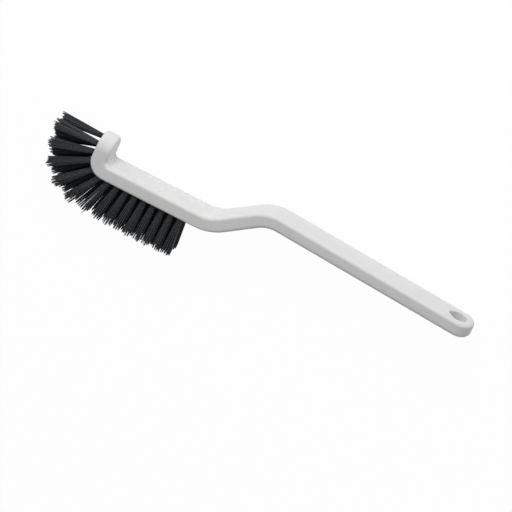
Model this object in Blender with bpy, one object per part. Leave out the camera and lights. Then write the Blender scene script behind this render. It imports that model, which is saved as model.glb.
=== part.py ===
# Hand brush with a cranked handle and a turned-up toe.
# One moulded strip carries three rows of bristle tufts, the middle row halfway between the
# others. Each tuft is driven into a blind hole of its own.
# Lengths are in metres. X runs from the toe to the end of the handle, Y points away from the
# bristles and Z is up. The brush lies on the flat side of its head.

import math

import bmesh
import bpy
from mathutils import Matrix, Vector

MM = 0.001

# cross section of the strip
STRIP_THICKNESS = 10.4 * MM
HEAD_WIDTH = 19.5 * MM
HANDLE_WIDTH = 18.0 * MM
BACK_FILLET = 2.1 * MM
HEAD_FRONT_FILLET = 2.1 * MM
HANDLE_FRONT_FILLET = 3.2 * MM

# side view of the strip, from the top of the toe to the end of the handle
TOE_HEIGHT = 28.6 * MM
TOE_TURN = math.radians(93.0)
TOE_OUTER_RADIUS = 11.4 * MM
TOE_INNER_RADIUS = 3.0 * MM
SQUARE_LEAD = 4.0 * MM
HEAD_LENGTH = 67.3 * MM
RISE_RADIUS = 29.1 * MM
RISE_TURN = math.radians(35.4)
BRIDGE_LENGTH = 23.4 * MM
FALL_RADIUS = 24.0 * MM
FALL_TURN = math.radians(38.9)
HANDLE_LENGTH = 140.2 * MM

# teardrop hole for hanging, its point toward the head (1 is a sharp point, 0 none)
HANG_HOLE_LENGTH = 12.7 * MM
HANG_HOLE_WIDTH = 9.3 * MM
HANG_HOLE_RIM = 5.3 * MM
HANG_HOLE_POINT = 0.4

# rows of tufts, evenly spaced from near the top of the toe to near the end of the head
OUTER_ROW_TUFTS = 14
OUTER_ROW_SPACING = 10.7 * MM
TOE_MARGIN = 7.6 * MM
HEAD_MARGIN = 10.5 * MM
# their lean: a slight one grows along the row, and past FAN_START they fan out evenly round the toe
LEAN_LAST = math.radians(2.1)
LEAN_SPREAD = math.radians(10.2)
LEAN_FAN = math.radians(183.1)
FAN_START = 0.592
FAN_EASE = 0.11
# bristle length outside the hole: the tufts that fan out are left longer
FREE_LENGTH = 28.7 * MM
FAN_EXTRA = 2.5 * MM
LONGER_FROM = 0.59
LONGER_BY = 0.72
TIP_GAP = 0.3 * MM

# one tuft and its hole
HOLE_RADIUS = 1.85 * MM
HOLE_DEPTH = 6.5 * MM
CUTTER_OVERSHOOT = 2.0 * MM
PLUG_CLEARANCE = 0.05 * MM
PLUG_SINK = 0.3 * MM
STRANDS = 12
STRAND_GAP = 0.28 * MM
INNER_STRAND_FAN = 0.4

# fineness of the round shapes
FILLET_STEPS = 3
END_STEPS = 5
BEND_STEP = math.radians(8.0)
HOLE_SIDES = 14
TEARDROP_SIDES = 26
SMOOTH_BELOW = math.radians(40.0)

# straight and curved runs of the middle line: length and curvature
RUNS = (
    (HEAD_LENGTH, 0.0),
    (RISE_RADIUS * RISE_TURN, 1.0 / RISE_RADIUS),
    (BRIDGE_LENGTH, 0.0),
    (FALL_RADIUS * FALL_TURN, -1.0 / FALL_RADIUS),
    (HANDLE_LENGTH, 0.0),
)
STRIP_END = sum(length for length, curve in RUNS)
HANDLE_START = STRIP_END - HANDLE_LENGTH
TOE_ARC = TOE_OUTER_RADIUS * TOE_TURN
TOE_STRAIGHT = (TOE_HEIGHT - TOE_OUTER_RADIUS * (1.0 - math.cos(TOE_TURN))) / math.sin(TOE_TURN)
STRIP_START = -(TOE_ARC + TOE_STRAIGHT)

FIRST_TUFT = STRIP_START + TOE_MARGIN
LAST_TUFT = HEAD_LENGTH - HEAD_MARGIN
TUFT_PITCH = (LAST_TUFT - FIRST_TUFT) / (OUTER_ROW_TUFTS - 1)
PLUG_RADIUS = HOLE_RADIUS - PLUG_CLEARANCE

# each row's name, place across the head, number of tufts and shift along the head in spacings
ROWS = (
    ("upper", OUTER_ROW_SPACING / 2, OUTER_ROW_TUFTS, 0.0),
    ("middle", 0.0, OUTER_ROW_TUFTS - 1, 0.5),
    ("lower", -OUTER_ROW_SPACING / 2, OUTER_ROW_TUFTS, 0.0),
)


def middle_line(along):
    # point and heading of the strip's middle line, counted from the end of the toe's bend
    x, y, heading = 0.0, STRIP_THICKNESS / 2, 0.0
    for length, curve in RUNS:
        step = min(along, length)
        if curve:
            turned = heading + step * curve
            x += (math.sin(turned) - math.sin(heading)) / curve
            y -= (math.cos(turned) - math.cos(heading)) / curve
            heading = turned
        else:
            x += step * math.cos(heading)
            y += step * math.sin(heading)
        along -= step
    return x, y, heading


def front_line(along):
    # point of the bristle side and the angle it has turned through, for the head and the toe
    if along >= 0.0:
        return Vector((along, 0.0)), 0.0
    turn = min(-along / TOE_OUTER_RADIUS, TOE_TURN)
    point = Vector((-math.sin(turn), 1.0 - math.cos(turn))) * TOE_OUTER_RADIUS
    beyond = max(-along - TOE_ARC, 0.0)
    return point + Vector((-math.cos(turn), math.sin(turn))) * beyond, turn


def section(along):
    # front and back points of the strip's section at one place of its side view
    if along >= SQUARE_LEAD:
        x, y, heading = middle_line(along)
        half = Vector((-math.sin(heading), math.cos(heading))) * (STRIP_THICKNESS / 2)
        return Vector((x, y)) - half, Vector((x, y)) + half
    front, turn = front_line(along)
    # the inner bend has a radius of its own, so its straight sides start a little later
    lead = (STRIP_THICKNESS + TOE_INNER_RADIUS - TOE_OUTER_RADIUS) * math.tan(TOE_TURN / 2)
    past = max(along, -along - TOE_ARC, 0.0)
    inward = Vector((math.sin(turn), math.cos(turn)))
    if past == 0.0:
        centre = Vector((lead, STRIP_THICKNESS + TOE_INNER_RADIUS))
        return front, centre - inward * TOE_INNER_RADIUS
    ahead = Vector((1.0, 0.0)) if along > 0.0 else Vector((-math.cos(turn), math.sin(turn)))
    return front, front + inward * STRIP_THICKNESS + ahead * lead * max(1.0 - past / SQUARE_LEAD, 0.0)


def between(head_size, handle_size, along):
    # one size on the head and another on the handle, changing evenly over the bends and bridge
    share = min(max((along - HEAD_LENGTH) / (HANDLE_START - HEAD_LENGTH), 0.0), 1.0)
    return head_size + (handle_size - head_size) * share


def strip_stations():
    # places along the strip, with the angle round an end for those on its two round ends
    step = math.pi / (2 * END_STEPS + 1)
    toe_centre = STRIP_START + HEAD_WIDTH / 2
    end_centre = STRIP_END - HANDLE_WIDTH / 2
    stations = [(toe_centre, -step * k) for k in range(END_STEPS, -1, -1)]
    stations.append((-TOE_ARC - SQUARE_LEAD, 0.0))
    toe_steps = round(TOE_TURN / BEND_STEP)
    stations += [(-TOE_ARC * (1.0 - k / toe_steps), 0.0) for k in range(toe_steps + 1)]
    stations.append((SQUARE_LEAD, 0.0))
    start = 0.0
    for length, curve in RUNS:
        if curve:
            steps = round(length * abs(curve) / BEND_STEP)
            stations += [(start + length * k / steps, 0.0) for k in range(steps + 1)]
        start += length
    stations += [(end_centre, step * k) for k in range(END_STEPS + 1)]
    return stations


def section_rings():
    # rings from the front face to the back: which fillet, and inset and height as shares of it
    quarter = math.pi / 2 / FILLET_STEPS
    rings = [(1.0 - math.sin(k * quarter), 1.0 - math.cos(k * quarter)) for k in range(FILLET_STEPS + 1)]
    return [(True, *ring) for ring in rings] + [(False, *ring) for ring in reversed(rings)]


def place_on_strip(station, side, ring):
    along, angle = station
    on_front, inset, height = ring
    if on_front:
        fillet = between(HEAD_FRONT_FILLET, HANDLE_FRONT_FILLET, along)
        level = fillet * height
    else:
        fillet = BACK_FILLET
        level = STRIP_THICKNESS - fillet * height
    reach = between(HEAD_WIDTH, HANDLE_WIDTH, along) / 2 - fillet * inset
    front, back = section(along + reach * math.sin(angle))
    point = front.lerp(back, level / STRIP_THICKNESS)
    return Vector((point.x, point.y, side * reach * math.cos(angle)))


def new_object(name, bm, material=None):
    bmesh.ops.recalc_face_normals(bm, faces=bm.faces)
    mesh = bpy.data.meshes.new(name)
    bm.to_mesh(mesh)
    bm.free()
    obj = bpy.data.objects.new(name, mesh)
    bpy.context.scene.collection.objects.link(obj)
    if material:
        mesh.materials.append(material)
    return obj


def new_material(name, colour, roughness):
    material = bpy.data.materials.new(name)
    material.use_nodes = True
    shader = material.node_tree.nodes["Principled BSDF"]
    shader.inputs["Base Color"].default_value = (*colour, 1.0)
    shader.inputs["Roughness"].default_value = roughness
    shader.inputs["Metallic"].default_value = 0.0
    return material


def verts_of(geometry):
    return [item for item in geometry if isinstance(item, bmesh.types.BMVert)]


def build_strip(material):
    # a flat grid takes the shape of the front face and is raised ring by ring to the back
    stations = strip_stations()
    rings = section_rings()
    bm = bmesh.new()
    station_of = bm.verts.layers.int.new("station")
    side_of = bm.verts.layers.int.new("side")
    bmesh.ops.create_grid(bm, x_segments=len(stations) - 1, y_segments=1, size=1.0)
    for vert in bm.verts:
        vert[station_of] = round((vert.co.x + 1.0) / 2 * (len(stations) - 1))
        vert[side_of] = 1 if vert.co.y > 0.0 else -1

    def settle(verts, ring):
        for vert in verts:
            vert.co = place_on_strip(stations[vert[station_of]], vert[side_of], ring)

    settle(bm.verts, rings[0])
    region = bm.faces[:]
    for number, ring in enumerate(rings[1:]):
        region = bmesh.ops.extrude_face_region(bm, geom=region, use_keep_orig=number == 0)["geom"]
        settle(verts_of(region), ring)
    body = new_object("handle_body", bm, material)
    for face in body.data.polygons:
        face.use_smooth = True
    body.data.set_sharp_from_angle(angle=SMOOTH_BELOW)
    return body


def free_length(share):
    longer = min(max((share - LONGER_FROM) / (LONGER_BY - LONGER_FROM), 0.0), 1.0)
    return FREE_LENGTH + FAN_EXTRA * longer


def tuft_frame(share, across_head):
    # the frame of one tuft: its origin where the hole opens, Z out along the bristles
    point, turn = front_line(LAST_TUFT + (FIRST_TUFT - LAST_TUFT) * share)
    past = share - FAN_START
    fanned = (past + math.hypot(past, FAN_EASE)) / 2
    lean = LEAN_LAST + LEAN_SPREAD * share + LEAN_FAN * fanned
    outward = Vector((-math.sin(lean), -math.cos(lean), 0.0))
    across = Vector((0.0, 0.0, 1.0))
    frame = Matrix((across, outward.cross(across), outward)).transposed().to_4x4()
    frame.translation = Vector((point.x, point.y, across_head))
    return frame


def build_hole_cutter(frames):
    # the polygon stands outside the round hole, so its flats keep the hole's true radius
    bm = bmesh.new()
    radius = HOLE_RADIUS / math.cos(math.pi / HOLE_SIDES)
    depth = HOLE_DEPTH + CUTTER_OVERSHOOT
    for frame in frames:
        bmesh.ops.create_cone(
            bm, cap_ends=True, segments=HOLE_SIDES, radius1=radius, radius2=radius, depth=depth,
            matrix=frame @ Matrix.Translation((0.0, 0.0, CUTTER_OVERSHOOT - depth / 2)))
    return new_object("cut_tuft_holes", bm)


def build_teardrop_cutter():
    bm = bmesh.new()
    bmesh.ops.create_circle(bm, cap_ends=True, segments=TEARDROP_SIDES, radius=1.0)
    x, y, heading = middle_line(STRIP_END - HANG_HOLE_RIM - HANG_HOLE_LENGTH / 2)
    ahead = Vector((math.cos(heading), math.sin(heading), 0.0))
    outward = Vector((-math.sin(heading), math.cos(heading), 0.0))
    turns = {vert: math.atan2(vert.co.y, vert.co.x) for vert in bm.verts}
    widths = {}
    for vert, turn in turns.items():
        widths[vert] = math.sin(turn) * math.sin(turn % math.tau / 2) ** HANG_HOLE_POINT
    widest = max(widths.values())
    for vert, turn in turns.items():
        length = -math.cos(turn) * HANG_HOLE_LENGTH / 2
        width = widths[vert] / widest * HANG_HOLE_WIDTH / 2
        vert.co = Vector((x, y, width)) + ahead * length - outward * STRIP_THICKNESS
    raised = bmesh.ops.extrude_face_region(bm, geom=bm.faces[:], use_keep_orig=True)["geom"]
    bmesh.ops.translate(bm, verts=verts_of(raised), vec=outward * 2 * STRIP_THICKNESS)
    return new_object("cut_hang_hole", bm)


def cut(body, cutter):
    cutter.hide_render = True
    cutter.display_type = "WIRE"
    modifier = body.modifiers.new(cutter.name, "BOOLEAN")
    modifier.operation = "DIFFERENCE"
    modifier.solver = "EXACT"
    modifier.object = cutter


def build_tuft(name, frame, length, material):
    # strands drawn out of the top of a round plug, which stands for their folded ends
    bm = bmesh.new()
    bmesh.ops.create_circle(
        bm, cap_ends=True, cap_tris=True, segments=STRANDS, radius=PLUG_RADIUS,
        matrix=Matrix.Translation((0.0, 0.0, -PLUG_SINK)) @ Matrix.Rotation(math.pi / STRANDS, 4, "Z"))
    roots = sorted(bm.faces, key=lambda face: math.atan2(*face.calc_center_median().xy))
    bmesh.ops.inset_individual(bm, faces=roots, thickness=STRAND_GAP / 2, use_even_offset=True)
    tips = bmesh.ops.extrude_discrete_faces(bm, faces=roots)["faces"]
    tips.sort(key=lambda face: math.atan2(*face.calc_center_median().xy))

    # every second strand fans out until the tips of neighbouring tufts almost meet
    root = tips[0].calc_center_median().xy.length
    edge = max(vert.co.xy.length for vert in tips[0].verts)
    fan = ((TUFT_PITCH - TIP_GAP) / 2 - edge) / root
    for number, tip in enumerate(tips):
        centre = tip.calc_center_median()
        spread = Vector((centre.x, centre.y, 0.0)) * fan * (INNER_STRAND_FAN if number % 2 else 1.0)
        spread.z = math.sqrt((length + PLUG_SINK) ** 2 - spread.length_squared)
        bmesh.ops.translate(bm, verts=tip.verts[:], vec=spread)

    rim = [edge for edge in bm.edges if edge.is_boundary]
    wall = bmesh.ops.extrude_edge_only(bm, edges=rim)["geom"]
    for vert in verts_of(wall):
        vert.co.z = -HOLE_DEPTH + PLUG_CLEARANCE
    bmesh.ops.holes_fill(bm, edges=[edge for edge in bm.edges if edge.is_boundary])
    tuft = new_object(name, bm, material)
    tuft.matrix_world = frame
    return tuft


def main():
    for obj in list(bpy.data.objects):
        bpy.data.objects.remove(obj, do_unlink=True)
    white = new_material("white_polypropylene", (0.80, 0.80, 0.80), 0.45)
    black = new_material("black_nylon_bristle", (0.020, 0.021, 0.023), 0.5)

    body = build_strip(white)
    parts = [body]
    frames = []
    for row, across_head, tufts, shift in ROWS:
        for index in range(tufts):
            # 1 at the first hole of an outer row, at the toe, and 0 at its last
            share = 1.0 - (index + shift) / (OUTER_ROW_TUFTS - 1)
            frame = tuft_frame(share, across_head)
            frames.append(frame)
            parts.append(build_tuft(f"tuft_{row}_{index + 1:02d}", frame, free_length(share), black))
    cut(body, build_hole_cutter(frames))
    cut(body, build_teardrop_cutter())

    # the middle of the whole brush stands over the origin, and the side of its head on the ground
    bpy.context.view_layer.update()
    corners = [part.matrix_world @ Vector(corner) for part in parts for corner in part.bound_box]
    middle_x = (min(c.x for c in corners) + max(c.x for c in corners)) / 2
    middle_y = (min(c.y for c in corners) + max(c.y for c in corners)) / 2
    to_origin = Matrix.Translation((-middle_x, -middle_y, HEAD_WIDTH / 2))
    for obj in bpy.data.objects:
        obj.matrix_world = to_origin @ obj.matrix_world


main()
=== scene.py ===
import math
import random

import bmesh
import bpy
from mathutils import Matrix, Vector


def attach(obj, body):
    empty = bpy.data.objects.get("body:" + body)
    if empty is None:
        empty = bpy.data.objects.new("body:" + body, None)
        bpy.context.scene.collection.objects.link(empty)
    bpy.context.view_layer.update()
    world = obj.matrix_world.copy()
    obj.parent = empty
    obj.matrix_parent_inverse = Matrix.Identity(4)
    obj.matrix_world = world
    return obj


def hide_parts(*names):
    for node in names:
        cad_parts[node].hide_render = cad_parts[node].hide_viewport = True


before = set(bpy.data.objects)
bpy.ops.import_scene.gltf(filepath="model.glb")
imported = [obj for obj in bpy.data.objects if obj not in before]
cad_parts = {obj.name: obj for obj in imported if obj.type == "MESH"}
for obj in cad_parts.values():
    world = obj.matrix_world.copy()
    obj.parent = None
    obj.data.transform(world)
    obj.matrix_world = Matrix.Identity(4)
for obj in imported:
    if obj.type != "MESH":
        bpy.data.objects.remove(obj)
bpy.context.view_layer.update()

# Grass brush: one white moulded strip with a turned-up toe, and three rows of black bristle tufts.
# Sizes in the dictionaries are millimetres and degrees. The brush lies on the side of its head:
# X runs from the toe to the end of the handle, Y away from the bristles, Z up.
mm = 0.001
scene = bpy.context.scene


# Small helpers

def fromHex(code):
    # sRGB hex to the linear values that shaders and lamps take
    channels = [int(code[i:i + 2], 16) / 255 for i in (1, 3, 5)]
    return tuple(c / 12.92 if c <= 0.04045 else ((c + 0.055) / 1.055) ** 2.4 for c in channels) + (1.0,)


def addNode(tree, kind, values=None, links=None, **settings):
    node = tree.nodes.new(kind)
    for name, value in settings.items():
        setattr(node, name, value)
    for socket, value in (values or {}).items():
        node.inputs[socket].default_value = value
    for socket, source in (links or {}).items():
        tree.links.new(source, node.inputs[socket])
    return node


def newMaterial(name):
    material = bpy.data.materials.new(name)
    material.use_nodes = True
    material.node_tree.nodes.clear()
    return material, material.node_tree


def addShader(tree, values, links):
    shader = addNode(tree, "ShaderNodeBsdfPrincipled", values, links)
    addNode(tree, "ShaderNodeOutputMaterial", links={"Surface": shader.outputs["BSDF"]})
    return shader


def pickVerts(geometry):
    return [item for item in geometry if isinstance(item, bmesh.types.BMVert)]


def makePiece(name, bm, material=None):
    # meshes are built in millimetres round the strip's own origin, then set down in the frame
    bmesh.ops.recalc_face_normals(bm, faces=bm.faces)
    mesh = bpy.data.meshes.new(name)
    bm.to_mesh(mesh)
    bm.free()
    mesh.transform(Matrix.Scale(mm, 4) @ Matrix.Translation(strip["seat"]))
    if material:
        mesh.materials.append(material)
    piece = bpy.data.objects.new(name, mesh)
    scene.collection.objects.link(piece)
    return piece


# Camera: a long lens, so far off that the photograph shows no perspective

camera = {
    "right": (0.873940, 0.314020, -0.370971),
    "up": (-0.448580, 0.814943, -0.366939),
    "back": (0.187094, 0.487093, 0.853074),
    "centre": (-1.574, -14.704, -6.612),
    "width": 325.854,
    "distance": 1500.0,
    "clipStart": 50.0,
    "clipEnd": 20000.0,
}


def addCamera():
    data = bpy.data.cameras.new("productCamera")
    data.type = "ORTHO"
    data.ortho_scale = camera["width"] * mm
    data.clip_start = camera["clipStart"] * mm
    data.clip_end = camera["clipEnd"] * mm
    obj = bpy.data.objects.new("productCamera", data)
    axes = Matrix((camera["right"], camera["up"], camera["back"])).transposed().to_4x4()
    place = (Vector(camera["centre"]) + Vector(camera["back"]) * camera["distance"]) * mm
    obj.matrix_world = Matrix.Translation(place) @ axes
    scene.collection.objects.link(obj)
    scene.camera = obj


# The moulded strip: toe, head, rise, bridge, fall and handle in one piece

strip = {
    "seat": (-108.131, -2.430, 9.75),  # the head's bristle side where the toe's bend ends, mid-width
    "thickness": 10.4,
    "headWidth": 19.5,
    "handleWidth": 18.0,
    "backFillet": 2.1,
    "headFrontFillet": 2.1,
    "handleFrontFillet": 3.2,
    "toeHeight": 28.6,
    "toeTurn": 93.0,
    "toeOuterRadius": 11.4,
    "toeInnerRadius": 3.0,
    "toeLead": 4.0,
    "headLength": 67.3,
    "riseRadius": 29.1,
    "riseTurn": 35.4,
    "bridgeLength": 23.4,
    "fallRadius": 24.0,
    "fallTurn": 38.9,
    "handleLength": 140.2,
    "filletSteps": 7,
    "endSteps": 18,
    "bendStep": 2.5,
    "leadSteps": 4,
    "straightStep": 12.0,
    "sharpFrom": 35.0,  # edges that turn less than this are shaded smooth
}

hangHole = {
    "length": 12.7,
    "width": 9.3,
    "rim": 5.3,  # plastic left between the hole and the end of the handle
    "point": 0.4,  # 1 is a sharp point, 0 none
    "edgeRadius": 0.7,
    "edgeSteps": 5,
    "sides": 96,
    "tipLength": 0.65,  # the stretch of the point that is rounded off
    "tipSoftening": 6,
    "flareStart": 0.005,  # just clear of the face, so that no two faces coincide
    "overshoot": 2.0,
}


def stripRuns():
    rise = math.radians(strip["riseTurn"])
    fall = math.radians(strip["fallTurn"])
    return (
        (strip["headLength"], 0.0),
        (strip["riseRadius"] * rise, 1.0 / strip["riseRadius"]),
        (strip["bridgeLength"], 0.0),
        (strip["fallRadius"] * fall, -1.0 / strip["fallRadius"]),
        (strip["handleLength"], 0.0),
    )


def stripEnds():
    # where the strip starts, at the top of the toe, and where it ends, counted along it
    turn = math.radians(strip["toeTurn"])
    radius = strip["toeOuterRadius"]
    straight = (strip["toeHeight"] - radius * (1.0 - math.cos(turn))) / math.sin(turn)
    return -(radius * turn + straight), sum(length for length, curve in stripRuns())


def middleLine(along):
    x, y, heading = 0.0, strip["thickness"] / 2, 0.0
    for length, curve in stripRuns():
        step = min(along, length)
        if curve:
            turned = heading + step * curve
            x += (math.sin(turned) - math.sin(heading)) / curve
            y -= (math.cos(turned) - math.cos(heading)) / curve
            heading = turned
        else:
            x += step * math.cos(heading)
            y += step * math.sin(heading)
        along -= step
    return x, y, heading


def frontLine(along):
    # the bristle side of the head and toe, and how far it has turned there
    if along >= 0.0:
        return Vector((along, 0.0)), 0.0
    radius = strip["toeOuterRadius"]
    turn = min(-along / radius, math.radians(strip["toeTurn"]))
    beyond = max(-along - radius * math.radians(strip["toeTurn"]), 0.0)
    point = Vector((-math.sin(turn), 1.0 - math.cos(turn))) * radius
    return point + Vector((-math.cos(turn), math.sin(turn))) * beyond, turn


def section(along):
    # front and back points of the strip at one place of its side view
    thickness = strip["thickness"]
    if along >= strip["toeLead"]:
        x, y, heading = middleLine(along)
        half = Vector((-math.sin(heading), math.cos(heading))) * (thickness / 2)
        return Vector((x, y)) - half, Vector((x, y)) + half
    front, turn = frontLine(along)
    fullTurn = math.radians(strip["toeTurn"])
    inner = strip["toeInnerRadius"]
    outer = strip["toeOuterRadius"]
    lead = (thickness + inner - outer) * math.tan(fullTurn / 2)
    past = max(along, -along - outer * fullTurn, 0.0)
    inward = Vector((math.sin(turn), math.cos(turn)))
    if past == 0.0:
        return front, Vector((lead, thickness + inner)) - inward * inner
    ahead = Vector((1.0, 0.0)) if along > 0.0 else Vector((-math.cos(turn), math.sin(turn)))
    return front, front + inward * thickness + ahead * lead * max(1.0 - past / strip["toeLead"], 0.0)


def between(headSize, handleSize, along):
    # the head's size runs evenly into the handle's over the bends and the bridge
    handleStart = stripEnds()[1] - strip["handleLength"]
    share = min(max((along - strip["headLength"]) / (handleStart - strip["headLength"]), 0.0), 1.0)
    return headSize + (handleSize - headSize) * share


def stripStations():
    start, end = stripEnds()
    step = math.pi / (2 * strip["endSteps"] + 1)
    toeCentre = start + strip["headWidth"] / 2
    endCentre = end - strip["handleWidth"] / 2
    stations = [(toeCentre, -step * k) for k in range(strip["endSteps"], -1, -1)]
    toeArc = strip["toeOuterRadius"] * math.radians(strip["toeTurn"])
    leadSteps = strip["leadSteps"]
    leadIn = [(-toeArc - strip["toeLead"] * k / leadSteps, 0.0) for k in range(leadSteps - 1, 0, -1)]
    toeSteps = round(strip["toeTurn"] / strip["bendStep"])
    stations += leadIn if leadIn[0][0] > toeCentre else []
    stations += [(-toeArc * (1.0 - k / toeSteps), 0.0) for k in range(toeSteps + 1)]
    stations += [(strip["toeLead"] * k / leadSteps, 0.0) for k in range(1, leadSteps)]
    place = strip["toeLead"]
    for length, curve in stripRuns():
        runEnd = length + (place if place > strip["toeLead"] else 0.0)
        span = min(runEnd, endCentre) - place
        turned = math.degrees(length * abs(curve))
        steps = round(turned / strip["bendStep"]) if curve else round(span / strip["straightStep"])
        stations += [(place + span * k / steps, 0.0) for k in range(steps)]
        place = runEnd
    stations += [(endCentre, step * k) for k in range(strip["endSteps"] + 1)]
    return stations


def sectionRings():
    quarter = math.pi / 2 / strip["filletSteps"]
    turns = [k * quarter for k in range(strip["filletSteps"] + 1)]
    rings = [(1.0 - math.sin(turn), 1.0 - math.cos(turn)) for turn in turns]
    return [(True, *ring) for ring in rings] + [(False, *ring) for ring in reversed(rings)]


def placeOnStrip(station, side, ring):
    along, angle = station
    onFront, inset, height = ring
    if onFront:
        fillet = between(strip["headFrontFillet"], strip["handleFrontFillet"], along)
        level = fillet * height
    else:
        fillet = strip["backFillet"]
        level = strip["thickness"] - fillet * height
    reach = between(strip["headWidth"], strip["handleWidth"], along) / 2 - fillet * inset
    front, back = section(along + reach * math.sin(angle))
    point = front.lerp(back, level / strip["thickness"])
    return Vector((point.x, point.y, side * reach * math.cos(angle)))


def buildBlank():
    # a flat ribbon of faces takes the shape of the front, then rises ring by ring to the back
    stations = stripStations()
    rings = sectionRings()
    bm = bmesh.new()
    stationOf = bm.verts.layers.int.new("station")
    sideOf = bm.verts.layers.int.new("side")
    bmesh.ops.create_grid(bm, x_segments=len(stations) - 1, y_segments=1, size=1.0)
    for vert in bm.verts:
        vert[stationOf] = round((vert.co.x + 1.0) / 2 * (len(stations) - 1))
        vert[sideOf] = 1 if vert.co.y > 0.0 else -1
    region = bm.verts[:]
    for number, ring in enumerate(rings):
        for vert in pickVerts(region):
            vert.co = placeOnStrip(stations[vert[stationOf]], vert[sideOf], ring)
        if number == 0:
            region = bm.faces[:]
        if ring is not rings[-1]:
            region = bmesh.ops.extrude_face_region(bm, geom=region, use_keep_orig=number == 0)["geom"]
    return makePiece("mouldedStrip", bm)


def buildHangHoleCutter():
    # teardrop with its point toward the head, flared at both faces for the rounded rim
    bm = bmesh.new()
    stationOf = bm.verts.layers.int.new("station")
    ring = bmesh.ops.create_circle(bm, segments=hangHole["sides"], radius=1.0)["verts"]
    turns = [math.atan2(vert.co.y, vert.co.x) for vert in ring]
    widths = [math.sin(turn) * math.sin(turn % math.tau / 2) ** hangHole["point"] for turn in turns]
    for vert, turn, width in zip(ring, turns, widths):
        vert.co.x = -math.cos(turn) * hangHole["length"] / 2
        vert.co.y = width / max(widths) * hangHole["width"] / 2
    for number in range(hangHole["tipSoftening"]):
        tip = [vert for vert in ring if vert.co.x < hangHole["tipLength"] - hangHole["length"] / 2]
        bmesh.ops.smooth_vert(bm, verts=tip, factor=0.5, use_axis_x=True, use_axis_y=True)
    for number, vert in enumerate(ring):
        vert[stationOf] = number
    outline = [vert.co.copy() for vert in ring]
    normals = []
    for number in range(len(ring)):
        chord = outline[(number + 1) % len(ring)] - outline[number - 1]
        normals.append(Vector((chord.y, -chord.x, 0.0)).normalized())
    if sum(normal.dot(point) for normal, point in zip(normals, outline)) < 0.0:
        normals = [-normal for normal in normals]

    radius = hangHole["edgeRadius"]
    half = strip["thickness"] / 2
    quarter = math.pi / 2 / hangHole["edgeSteps"]
    flare = [(half + hangHole["overshoot"], radius), (half + hangHole["flareStart"], radius)]
    for k in range(1, hangHole["edgeSteps"] + 1):
        turn = k * quarter
        flare.append((half - radius * (1.0 - math.cos(turn)), radius * (1.0 - math.sin(turn))))
    levels = flare + [(-level, offset) for level, offset in reversed(flare)]
    edges = bm.edges[:]
    for number, (level, offset) in enumerate(levels):
        if number:
            wall = bmesh.ops.extrude_edge_only(bm, edges=edges)["geom"]
            ring = pickVerts(wall)
            edges = [item for item in wall if isinstance(item, bmesh.types.BMEdge)
                     and item.verts[0] in ring and item.verts[1] in ring]
        for vert in ring:
            station = vert[stationOf]
            vert.co = outline[station] + normals[station] * offset
            vert.co.z = level
    bmesh.ops.holes_fill(bm, edges=[edge for edge in bm.edges if edge.is_boundary])

    middle = stripEnds()[1] - hangHole["rim"] - hangHole["length"] / 2
    x, y, heading = middleLine(middle)
    ahead = Vector((math.cos(heading), math.sin(heading), 0.0))
    outward = Vector((-math.sin(heading), math.cos(heading), 0.0))
    across = ahead.cross(outward)
    turnTo = Matrix((ahead, -across, outward)).transposed().to_4x4()
    bm.transform(Matrix.Translation((x, y, 0.0)) @ turnTo)
    return makePiece("hangHoleCutter", bm)


def buildTuftHoleCutter(frames):
    bm = bmesh.new()
    radius = tuft["holeRadius"]
    depth = tuft["holeDepth"] + tuft["overshoot"]
    middle = Matrix.Translation((0.0, 0.0, tuft["overshoot"] - depth / 2))
    for place in frames:
        bmesh.ops.create_cone(
            bm, cap_ends=True, segments=tuft["holeSides"], radius1=radius, radius2=radius,
            depth=depth, matrix=place @ middle)
    return makePiece("tuftHoleCutter", bm)


def buildStrip(material, frames):
    piece = buildBlank()
    cutters = [buildTuftHoleCutter(frames), buildHangHoleCutter()]
    for cutter in cutters:
        modifier = piece.modifiers.new(cutter.name, "BOOLEAN")
        modifier.operation = "DIFFERENCE"
        modifier.solver = "EXACT"
        modifier.object = cutter
    graph = bpy.context.evaluated_depsgraph_get()
    finished = bpy.data.meshes.new_from_object(piece.evaluated_get(graph))
    piece.modifiers.clear()
    piece.data = finished
    finished.name = piece.name
    finished.materials.clear()
    finished.materials.append(material)
    for cutter in cutters:
        bpy.data.objects.remove(cutter, do_unlink=True)
    for face in finished.polygons:
        face.use_smooth = True
    finished.set_sharp_from_angle(angle=math.radians(strip["sharpFrom"]))
    weighted = piece.modifiers.new("flatFacesStayFlat", "WEIGHTED_NORMAL")
    weighted.keep_sharp = True
    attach(piece, "root")
    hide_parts("handle_body")
    return piece


# Tufts: each is a bundle of filaments folded over its anchor, so every filament shows two ends

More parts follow.
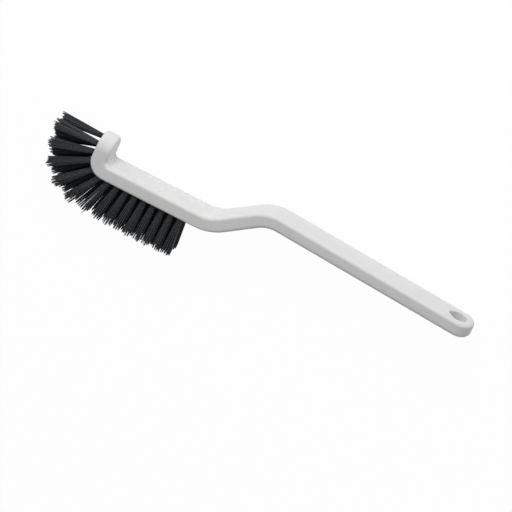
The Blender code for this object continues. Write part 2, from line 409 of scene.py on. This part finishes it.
tuft = {
    "outerRow": 14,  # tufts in each outer row; the middle row has one fewer, halfway between them
    "outerSpacing": 10.7,
    "toeMargin": 7.6,
    "headMargin": 10.5,
    "leanLast": 2.1,
    "leanSpread": 10.2,
    "leanFan": 183.1,  # over the whole row, but it starts at fanStart
    "fanStart": 0.592,
    "fanEase": 0.11,
    "holeRadius": 1.85,
    "holeDepth": 6.5,
    "holeSides": 24,
    "overshoot": 2.0,
    "freeLength": 29.9,  # of the longest filaments
    "fanExtra": 2.3,  # the tufts that fan out are left longer, from one share of the row to the next
    "longerFrom": 0.59,
    "longerBy": 0.72,
    "filamentRadius": 0.155,
    "filamentSides": 5,
    "filamentSpacing": 0.32,  # at the mouth; each filament comes back out past its anchor
    "clearance": 0.03,  # left between a filament and the wall of the hole or the anchor
    "ringShares": (0.97, 0.55, 0.22),  # of the free length; the ground point starts at the first
    "pointShare": 0.8,  # radius left at the very end
    "tipRadius": 3.75,
    "crowding": 0.8,  # 1 spaces the tips evenly, less crowds them toward the rim of the tuft
    "flare": 0.92,  # 1 spreads evenly from the hole to the tips, less spreads sooner
    "dome": 0.2,  # how much shorter the outermost filaments are cut
    "lockSize": 0.68,  # neighbouring filaments cling together in locks, counted where they leave the hole
    "gather": 0.5,  # how far a lock draws together at its tips
    "lockTrim": 2.8,  # how unevenly the locks are worn
    "trim": 0.8,  # the same from one filament to the next
    "stray": 0.16,
    "wildShare": 0.03,
    "wildStray": 0.45,
    "seed": 14,
}

# where a filament turns round under its anchor
fold = {
    "under": 0.1,
    "stack": 0.45,  # how much lower the outermost filaments pass
    "beside": 0.2,  # above the anchor's lower edge
    "narrow": 0.8,
    "lift": 0.1,
}


def freeLength(share):
    longer = (share - tuft["longerFrom"]) / (tuft["longerBy"] - tuft["longerFrom"])
    return tuft["freeLength"] + tuft["fanExtra"] * min(max(longer, 0.0), 1.0)


def tuftFrame(share, acrossHead):
    start, end = stripEnds()
    first = start + tuft["toeMargin"]
    last = strip["headLength"] - tuft["headMargin"]
    point, turn = frontLine(last + (first - last) * share)
    past = share - tuft["fanStart"]
    fanned = (past + math.hypot(past, tuft["fanEase"])) / 2
    lean = math.radians(tuft["leanLast"] + tuft["leanSpread"] * share + tuft["leanFan"] * fanned)
    outward = Vector((-math.sin(lean), -math.cos(lean), 0.0))
    across = Vector((0.0, 0.0, 1.0))
    place = Matrix((across, outward.cross(across), outward)).transposed().to_4x4()
    place.translation = Vector((point.x, point.y, acrossHead))
    return place


def tuftPlaces():
    # where each tuft sits and how long it is; share is 1 at the toe's end of an outer row, 0 at the other
    half = tuft["outerSpacing"] / 2
    rows = {"upper": (half, 0.0), "middle": (0.0, 0.5), "lower": (-half, 0.0)}
    places = {}
    for row, (acrossHead, shift) in rows.items():
        for index in range(tuft["outerRow"] - math.ceil(shift)):
            share = 1.0 - (index + shift) / (tuft["outerRow"] - 1)
            places[f"{row}_{index + 1:02d}"] = tuftFrame(share, acrossHead), freeLength(share)
    return places


def filamentBlank():
    # a straight filament with a ring for each point of filamentPath, its number kept in its height:
    # a half has its tip, the ring shares, the mouth and two beside the anchor, and one is shared
    rings = 2 * (len(tuft["ringShares"]) + 4) + 1
    bm = bmesh.new()
    bmesh.ops.create_circle(
        bm, cap_ends=True, segments=tuft["filamentSides"], radius=tuft["filamentRadius"])
    region = bm.faces[:]
    for number in range(rings - 1):
        region = bmesh.ops.extrude_face_region(bm, geom=region, use_keep_orig=number == 0)["geom"]
        bmesh.ops.translate(bm, verts=pickVerts(region), vec=(0.0, 0.0, 1.0))
    mesh = bpy.data.meshes.new("filamentBlank")
    bm.to_mesh(mesh)
    bm.free()
    return mesh


def filamentRoots():
    # a close-packed pattern on one side of the anchor, which the folded filaments repeat on the other
    step = tuft["filamentSpacing"]
    grip = tuft["holeRadius"] - tuft["filamentRadius"] - tuft["clearance"]
    roots = []
    for column in range(math.ceil(grip / step) + 1):
        x = (column + 0.5) * step * math.sqrt(0.75)
        for row in range(-math.ceil(grip / step), math.ceil(grip / step) + 1):
            y = (row + 0.5 * (column % 2)) * step
            if math.hypot(x, y) <= grip:
                roots.append((x, y))
    return roots


def filamentPath(root, tips):
    # tip, mouth of the hole, down beside the anchor, round under it and back out
    x, y = root
    radius = tuft["filamentRadius"]
    low = anchor["bottom"] + radius + fold["under"] + fold["stack"] * x / tuft["holeRadius"]
    squeezed = max(x, anchor["thickness"] / 2 + radius + tuft["clearance"])
    halves = []
    for side, tip in zip((1, -1), tips):
        mouth = Vector((side * x, y, 0.0))
        half = [tip]
        for share in tuft["ringShares"]:
            spread = mouth.lerp(tip, share ** tuft["flare"])
            half.append(Vector((spread.x, spread.y, tip.z * share)))
        half += [mouth, Vector((side * squeezed, y, fold["beside"] - anchor["bottom"]))]
        half.append(Vector((side * squeezed * fold["narrow"], y, fold["lift"] - low)))
        halves.append(half)
    return halves[0] + [Vector((0.0, y, -low))] + halves[1][::-1]


def bendAlong(verts, path):
    tangents = []
    for number in range(len(path)):
        ahead = path[min(number + 1, len(path) - 1)] - path[max(number - 1, 0)]
        tangents.append(ahead.normalized())
    for vert in verts:
        number = round(vert.co.z)
        tangent = tangents[number]
        sideways = Vector((0.0, 1.0, 0.0)).cross(tangent).normalized()
        forward = tangent.cross(sideways)
        thin = tuft["pointShare"] if number in (0, len(path) - 1) else 1.0
        vert.co = path[number] + (sideways * vert.co.x + forward * vert.co.y) * thin


def buildTuft(name, place, longest, blank, material, chance):
    bm = bmesh.new()
    grip = tuft["holeRadius"] - tuft["filamentRadius"]
    fan = (tuft["tipRadius"] - tuft["filamentRadius"]) / grip
    lockWear = {}  # filled as the locks come up
    for x, y in filamentRoots():
        outward = math.hypot(x, y) / grip
        tips = []
        for side in (1, -1):
            loose = tuft["wildStray"] if chance.random() < tuft["wildShare"] else tuft["stray"]
            jitter = Vector((chance.gauss(0.0, loose), chance.gauss(0.0, loose), 0.0))
            root = Vector((side * x, y, 0.0))
            lock = Vector([round(value / tuft["lockSize"]) * tuft["lockSize"] for value in root])
            wear = lockWear.setdefault(tuple(lock), chance.random())
            tip = root.lerp(lock, tuft["gather"]) * fan * outward ** (tuft["crowding"] - 1.0) + jitter
            length = longest - tuft["dome"] * outward ** 2
            length -= tuft["lockTrim"] * wear + tuft["trim"] * chance.random()
            tip.z = math.sqrt(length * length - tip.length_squared)
            tips.append(tip)
        known = len(bm.verts)
        bm.from_mesh(blank)
        bm.verts.ensure_lookup_table()
        bendAlong(bm.verts[known:], filamentPath((x, y), tips))
    bm.transform(place)
    piece = makePiece(name, bm, material)
    for face in piece.data.polygons:
        face.use_smooth = True
    return piece


# Anchors: a chopped slip of flat wire in each hole, that the filaments are folded round

anchor = {
    "width": 3.5,
    "height": 1.8,
    "thickness": 0.4,
    "bottom": 5.3,  # its lower edge, counted down from the mouth of the hole
    "edge": 0.06,
}


def buildAnchor(name, place, material):
    bm = bmesh.new()
    size = Matrix.Diagonal((anchor["thickness"], anchor["width"], anchor["height"], 1.0))
    middle = Matrix.Translation((0.0, 0.0, anchor["height"] / 2 - anchor["bottom"]))
    bmesh.ops.create_cube(bm, size=1.0, matrix=place @ middle @ size)
    bmesh.ops.bevel(
        bm, geom=bm.edges[:], offset=anchor["edge"], segments=2, profile=0.5, affect="EDGES", material=-1)
    piece = makePiece(name, bm, material)
    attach(piece, "root")
    return piece


# Materials

def mouldedPolypropylene():
    # injection-moulded polypropylene, white: a satin skin off a lightly blasted mould, slightly
    # cloudy at thin edges, with the faintest long flow marks
    material, tree = newMaterial("mouldedPolypropylene")
    place = addNode(tree, "ShaderNodeTexCoord").outputs["Object"]
    flow = addNode(tree, "ShaderNodeTexNoise", {"Scale": 1000 / 45, "Detail": 2.0}, {"Vector": place})
    tint = addNode(
        tree, "ShaderNodeMix", {"A": fromHex("#ebebea"), "B": fromHex("#e7e7e7")},
        {"Factor": flow.outputs["Fac"]}, data_type="RGBA")
    grain = addNode(tree, "ShaderNodeTexNoise", {"Scale": 1000 / 0.35, "Detail": 3.0}, {"Vector": place})
    skin = addNode(
        tree, "ShaderNodeMapRange", {"To Min": 0.40, "To Max": 0.50}, {"Value": grain.outputs["Fac"]})
    bump = addNode(
        tree, "ShaderNodeBump", {"Strength": 0.12, "Distance": 0.02 * mm},
        {"Height": grain.outputs["Fac"]})
    addShader(
        tree, {"IOR": 1.49, "Specular IOR Level": 0.05, "Subsurface Weight": 0.3,
               "Subsurface Scale": 2.0 * mm, "Subsurface Radius": (1.0, 1.0, 1.0)},
        {"Base Color": tint.outputs["Result"], "Roughness": skin.outputs["Result"],
         "Normal": bump.outputs["Normal"]})
    return material


def extrudedNylon():
    # extruded black nylon filament: drawn smooth, with a soft sheen that stays low on so thin a strand
    material, tree = newMaterial("extrudedNylonFilament")
    place = addNode(tree, "ShaderNodeTexCoord").outputs["Object"]
    drift = addNode(tree, "ShaderNodeTexNoise", {"Scale": 1000 / 2.5, "Detail": 2.0}, {"Vector": place})
    tint = addNode(
        tree, "ShaderNodeMix", {"A": fromHex("#484a4e"), "B": fromHex("#5d5f63")},
        {"Factor": drift.outputs["Fac"]}, data_type="RGBA")
    skin = addNode(
        tree, "ShaderNodeMapRange", {"To Min": 0.45, "To Max": 0.6}, {"Value": drift.outputs["Fac"]})
    # painted shade: an ambient occlusion node darkens the base colour in the depth of a tuft and in the
    # gaps between tufts
    depth = addNode(
        tree, "ShaderNodeAmbientOcclusion", {"Distance": 9.0 * mm},
        {"Color": tint.outputs["Result"]}, samples=6)
    addShader(
        tree, {"IOR": 1.53, "Specular IOR Level": 0.13},
        {"Base Color": depth.outputs["Color"], "Roughness": skin.outputs["Result"]})
    return material


def galvanisedWire():
    # flat galvanised wire, chopped and driven: grey zinc with drawing lines along it
    material, tree = newMaterial("galvanisedAnchorWire")
    place = addNode(tree, "ShaderNodeTexCoord").outputs["Object"]
    lines = addNode(tree, "ShaderNodeTexNoise", {"Scale": 1000 / 0.2, "Detail": 2.0}, {"Vector": place})
    tint = addNode(
        tree, "ShaderNodeMix", {"A": fromHex("#a9aaa8"), "B": fromHex("#c6c7c5")},
        {"Factor": lines.outputs["Fac"]}, data_type="RGBA")
    skin = addNode(
        tree, "ShaderNodeMapRange", {"To Min": 0.28, "To Max": 0.45}, {"Value": lines.outputs["Fac"]})
    addShader(
        tree, {"Metallic": 1.0},
        {"Base Color": tint.outputs["Result"], "Roughness": skin.outputs["Result"]})
    return material


# Studio: white floor and surround, soft boxes

studio = {
    "floorSize": 8000.0,
    "floorDrop": 0.2,  # just below the brush, so that no two faces coincide
    "floorColour": "#f4f4f4",
    "floorGlow": 0.975,  # the rest of the floor takes the shadow
    "white": 1.0,  # the surround as the camera sees it
    "ambient": 0.25,  # the surround as it lights the brush
    "lightColour": (1.0, 1.0, 1.0, 1.0),
    "boxDistance": 1400.0,
    "boxSize": 900.0,
    "boxes": {
        "keyBox": {"from": (-0.2, 0.9, 0.5), "power": 11.9},
        "slopeBox": {"from": (-0.8, 0.6, 0.05), "power": 1.3},
        "toeBox": {"from": (-1.0, 0.2, 0.4), "power": 1.1},
        "endBox": {"from": (1.0, 0.1, 0.35), "power": 1.8},
    },
}


def seenDirectly(tree):
    # 1 for what the camera sees, straight or in a reflection or through glass
    rays = addNode(tree, "ShaderNodeLightPath")
    seen = rays.outputs["Is Camera Ray"]
    for other in ("Is Glossy Ray", "Is Transmission Ray"):
        both = addNode(
            tree, "ShaderNodeMath", None, {0: seen, 1: rays.outputs[other]}, operation="MAXIMUM")
        seen = both.outputs["Value"]
    return seen


def addFloor():
    bm = bmesh.new()
    bmesh.ops.create_grid(bm, x_segments=1, y_segments=1, size=studio["floorSize"] / 2)
    mesh = bpy.data.meshes.new("floor")
    bm.to_mesh(mesh)
    bm.free()
    mesh.transform(Matrix.Scale(mm, 4) @ Matrix.Translation((0.0, 0.0, -studio["floorDrop"])))
    floor = bpy.data.objects.new("floor", mesh)
    scene.collection.objects.link(floor)
    # seamless white paper: most of the white that is seen is its own, the rest takes the shadow
    material, tree = newMaterial("whitePaperFloor")
    share = addNode(
        tree, "ShaderNodeMath", {1: studio["floorGlow"]}, {0: seenDirectly(tree)}, operation="MULTIPLY")
    paper = addNode(tree, "ShaderNodeBsdfDiffuse", {"Color": fromHex(studio["floorColour"])})
    glow = addNode(
        tree, "ShaderNodeEmission", {"Color": studio["lightColour"], "Strength": studio["white"]})
    mix = addNode(
        tree, "ShaderNodeMixShader", None,
        {0: share.outputs["Value"], 1: paper.outputs["BSDF"], 2: glow.outputs["Emission"]})
    addNode(tree, "ShaderNodeOutputMaterial", links={"Surface": mix.outputs["Shader"]})
    mesh.materials.append(material)


def addSurround():
    world = bpy.data.worlds.new("studioSurround")
    world.use_nodes = True
    tree = world.node_tree
    tree.nodes.clear()
    colour = studio["lightColour"]
    room = addNode(tree, "ShaderNodeBackground", {"Color": colour, "Strength": studio["ambient"]})
    white = addNode(tree, "ShaderNodeBackground", {"Color": colour, "Strength": studio["white"]})
    mix = addNode(
        tree, "ShaderNodeMixShader", None,
        {0: seenDirectly(tree), 1: room.outputs["Background"], 2: white.outputs["Background"]})
    addNode(tree, "ShaderNodeOutputWorld", links={"Surface": mix.outputs["Shader"]})
    scene.world = world


def addLights():
    for name, box in studio["boxes"].items():
        data = bpy.data.lights.new(name, "AREA")
        data.shape = "SQUARE"
        data.size = studio["boxSize"] * mm
        data.energy = box["power"]
        light = bpy.data.objects.new(name, data)
        away = Vector(box["from"]).normalized()
        light.location = away * studio["boxDistance"] * mm
        light.rotation_euler = away.to_track_quat("Z", "Y").to_euler()
        light.visible_camera = False
        scene.collection.objects.link(light)


def main():
    scene.view_settings.view_transform = "Standard"
    addCamera()
    print("camera set")

    white = mouldedPolypropylene()
    nylon = extrudedNylon()
    wire = galvanisedWire()
    places = tuftPlaces()
    buildStrip(white, [place for place, length in places.values()])
    print("strip moulded and bored")

    blank = filamentBlank()
    chance = random.Random(tuft["seed"])
    for number, (place, length) in places.items():
        piece = buildTuft("bristles_" + number, place, length, blank, nylon, chance)
        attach(piece, "root")
        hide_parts("tuft_" + number)
        buildAnchor("anchorWire_" + number, place, wire)
    print("tufts set:", len(places))

    addFloor()
    addSurround()
    addLights()
    print("studio lit")


main()
